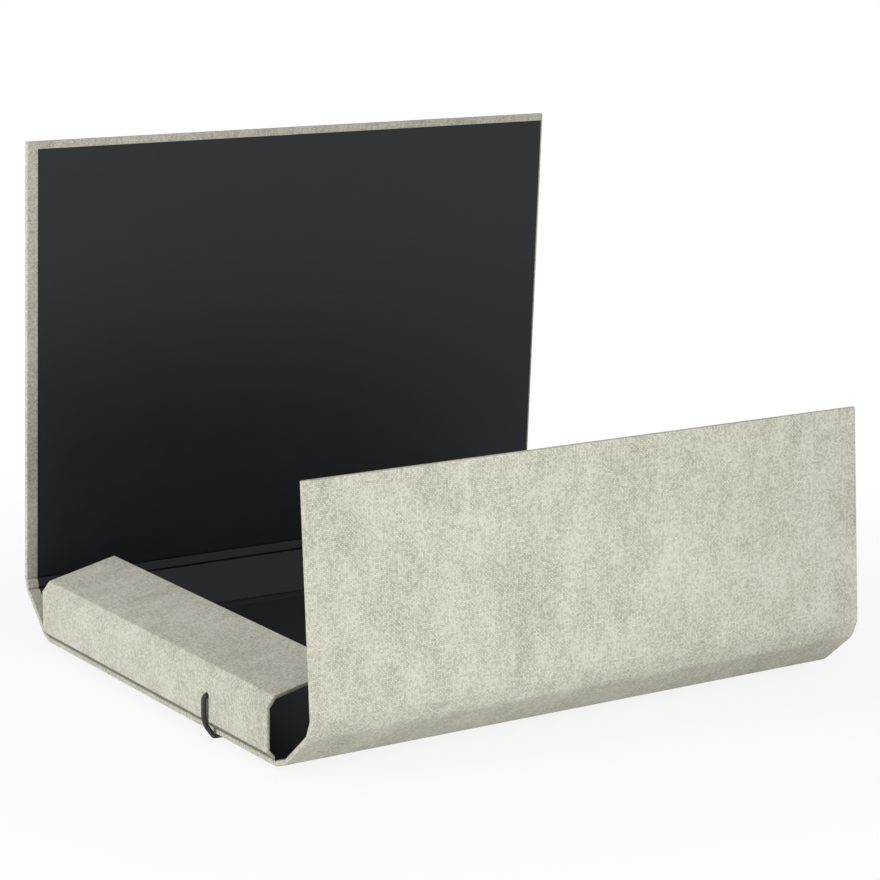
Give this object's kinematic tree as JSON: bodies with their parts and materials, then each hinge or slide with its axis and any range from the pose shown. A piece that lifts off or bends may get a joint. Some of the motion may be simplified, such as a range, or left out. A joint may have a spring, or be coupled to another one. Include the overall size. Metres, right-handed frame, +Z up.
{
  "type": "document folder",
  "caption": "Cloth-covered document folder: a base with a rear cover, a front flap and two side flaps on double creases, held by an elastic cord.",
  "frame": {"origin": "centre of the open folder's bounding box in plan, on the surface it stands on", "axes": "+Z up, +X to the right as seen from the front flap, +Y towards the rear cover"},
  "size_m": [0.3392, 0.2964, 0.2648],
  "materials": {
    "greyboard": "matt grey binder's board",
    "linen": "matt natural linen book cloth",
    "lining": "near-black paper with a fine grain",
    "elastic": "black braided sheath over rubber, soft sheen"
  },
  "bodies": {
    "base": {"base_board": "greyboard", "base_cloth": "linen", "base_lining": "lining", "left_glue_tab": "lining", "right_glue_tab": "lining", "elastic_under_base": "elastic"},
    "rear_lower_strip": {"rear_lower_strip_board": "greyboard", "rear_lower_strip_cloth": "linen", "rear_lower_strip_lining": "lining"},
    "rear_spine": {"rear_spine_board": "greyboard", "rear_spine_cloth": "linen", "rear_spine_lining": "lining"},
    "rear_upper_strip": {"rear_upper_strip_board": "greyboard", "rear_upper_strip_cloth": "linen", "rear_upper_strip_lining": "lining"},
    "rear_cover": {"rear_cover_board": "greyboard", "rear_cover_cloth": "linen", "rear_cover_lining": "lining"},
    "front_lower_strip": {"front_lower_strip_board": "greyboard", "front_lower_strip_cloth": "linen", "front_lower_strip_lining": "lining"},
    "front_spine": {"front_spine_board": "greyboard", "front_spine_cloth": "linen", "front_spine_lining": "lining"},
    "front_upper_strip": {"front_upper_strip_board": "greyboard", "front_upper_strip_cloth": "linen", "front_upper_strip_lining": "lining"},
    "front_flap": {"front_flap_board": "greyboard", "front_flap_cloth": "linen", "front_flap_lining": "lining"},
    "left_lower_strip": {"left_lower_strip_board": "greyboard", "left_lower_strip_cloth": "linen", "left_lower_strip_lining": "lining"},
    "left_wall": {"left_wall_board": "greyboard", "left_wall_cloth": "linen", "left_wall_lining": "lining", "elastic_left_run": "elastic", "left_cord_knot": "elastic"},
    "left_upper_strip": {"left_upper_strip_board": "greyboard", "left_upper_strip_cloth": "linen", "left_upper_strip_lining": "lining"},
    "left_top_flap": {"left_top_flap_board": "greyboard", "left_top_flap_cloth": "linen", "left_top_flap_lining": "lining"},
    "right_lower_strip": {"right_lower_strip_board": "greyboard", "right_lower_strip_cloth": "linen", "right_lower_strip_lining": "lining"},
    "right_wall": {"right_wall_board": "greyboard", "right_wall_cloth": "linen", "right_wall_lining": "lining", "elastic_right_run": "elastic", "right_cord_knot": "elastic"},
    "right_upper_strip": {"right_upper_strip_board": "greyboard", "right_upper_strip_cloth": "linen", "right_upper_strip_lining": "lining"},
    "right_top_flap": {"right_top_flap_board": "greyboard", "right_top_flap_cloth": "linen", "right_top_flap_lining": "lining"}
  },
  "joints": [
    {"name": "rear_lower_strip_crease", "type": "hinge", "parent": "base", "child": "rear_lower_strip", "pos_m": [0, 0.12041, 0.0026], "axis": [-1, 0, 0], "range_deg": [-22.7, 22.3]},
    {"name": "rear_spine_crease", "type": "hinge", "parent": "rear_lower_strip", "child": "rear_spine", "pos_m": [0, 0.12633, 0.00503], "axis": [-1, 0, 0], "range_deg": [-22.7, 22.3]},
    {"name": "rear_upper_strip_crease", "type": "hinge", "parent": "rear_spine", "child": "rear_upper_strip", "pos_m": [0, 0.14584, 0.02427], "axis": [-1, 0, 0], "range_deg": [-21.1, 23.9]},
    {"name": "rear_cover_crease", "type": "hinge", "parent": "rear_upper_strip", "child": "rear_cover", "pos_m": [0, 0.14819, 0.03022], "axis": [-1, 0, 0], "range_deg": [-21.1, 23.9]},
    {"name": "front_lower_strip_crease", "type": "hinge", "parent": "base", "child": "front_lower_strip", "pos_m": [0, -0.11599, 0.0026], "axis": [1, 0, 0], "range_deg": [-24.4, 20.6]},
    {"name": "front_spine_crease", "type": "hinge", "parent": "front_lower_strip", "child": "front_spine", "pos_m": [0, -0.12498, 0.00598], "axis": [1, 0, 0], "range_deg": [-24.4, 20.6]},
    {"name": "front_upper_strip_crease", "type": "hinge", "parent": "front_spine", "child": "front_upper_strip", "pos_m": [0, -0.1446, 0.02315], "axis": [1, 0, 0], "range_deg": [-18.2, 26.8]},
    {"name": "front_flap_crease", "type": "hinge", "parent": "front_upper_strip", "child": "front_flap", "pos_m": [0, -0.14819, 0.03205], "axis": [1, 0, 0], "range_deg": [-18.2, 26.8]},
    {"name": "left_lower_strip_crease", "type": "hinge", "parent": "base", "child": "left_lower_strip", "pos_m": [-0.1625, 0.00221, 0.0054], "axis": [0, -1, 0], "range_deg": [0, 45]},
    {"name": "left_wall_crease", "type": "hinge", "parent": "left_lower_strip", "child": "left_wall", "pos_m": [-0.16646, 0.00221, 0.00936], "axis": [0, -1, 0], "range_deg": [0, 45], "deforming": ["elastic_left_run"]},
    {"name": "left_upper_strip_crease", "type": "hinge", "parent": "left_wall", "child": "left_upper_strip", "pos_m": [-0.16646, 0.00221, 0.03108], "axis": [0, -1, 0], "range_deg": [-6.4, 38.6]},
    {"name": "left_top_flap_crease", "type": "hinge", "parent": "left_upper_strip", "child": "left_top_flap", "pos_m": [-0.16234, 0.00221, 0.03624], "axis": [0, -1, 0], "range_deg": [-6.4, 38.6]},
    {"name": "right_lower_strip_crease", "type": "hinge", "parent": "base", "child": "right_lower_strip", "pos_m": [0.1625, 0.00221, 0.0054], "axis": [0, 1, 0], "range_deg": [0, 45]},
    {"name": "right_wall_crease", "type": "hinge", "parent": "right_lower_strip", "child": "right_wall", "pos_m": [0.16646, 0.00221, 0.00936], "axis": [0, 1, 0], "range_deg": [0, 45], "deforming": ["elastic_right_run"]},
    {"name": "right_upper_strip_crease", "type": "hinge", "parent": "right_wall", "child": "right_upper_strip", "pos_m": [0.16646, 0.00221, 0.03108], "axis": [0, 1, 0], "range_deg": [-6.4, 38.6]},
    {"name": "right_top_flap_crease", "type": "hinge", "parent": "right_upper_strip", "child": "right_top_flap", "pos_m": [0.16234, 0.00221, 0.03624], "axis": [0, 1, 0], "range_deg": [-6.4, 38.6]}
  ]
}
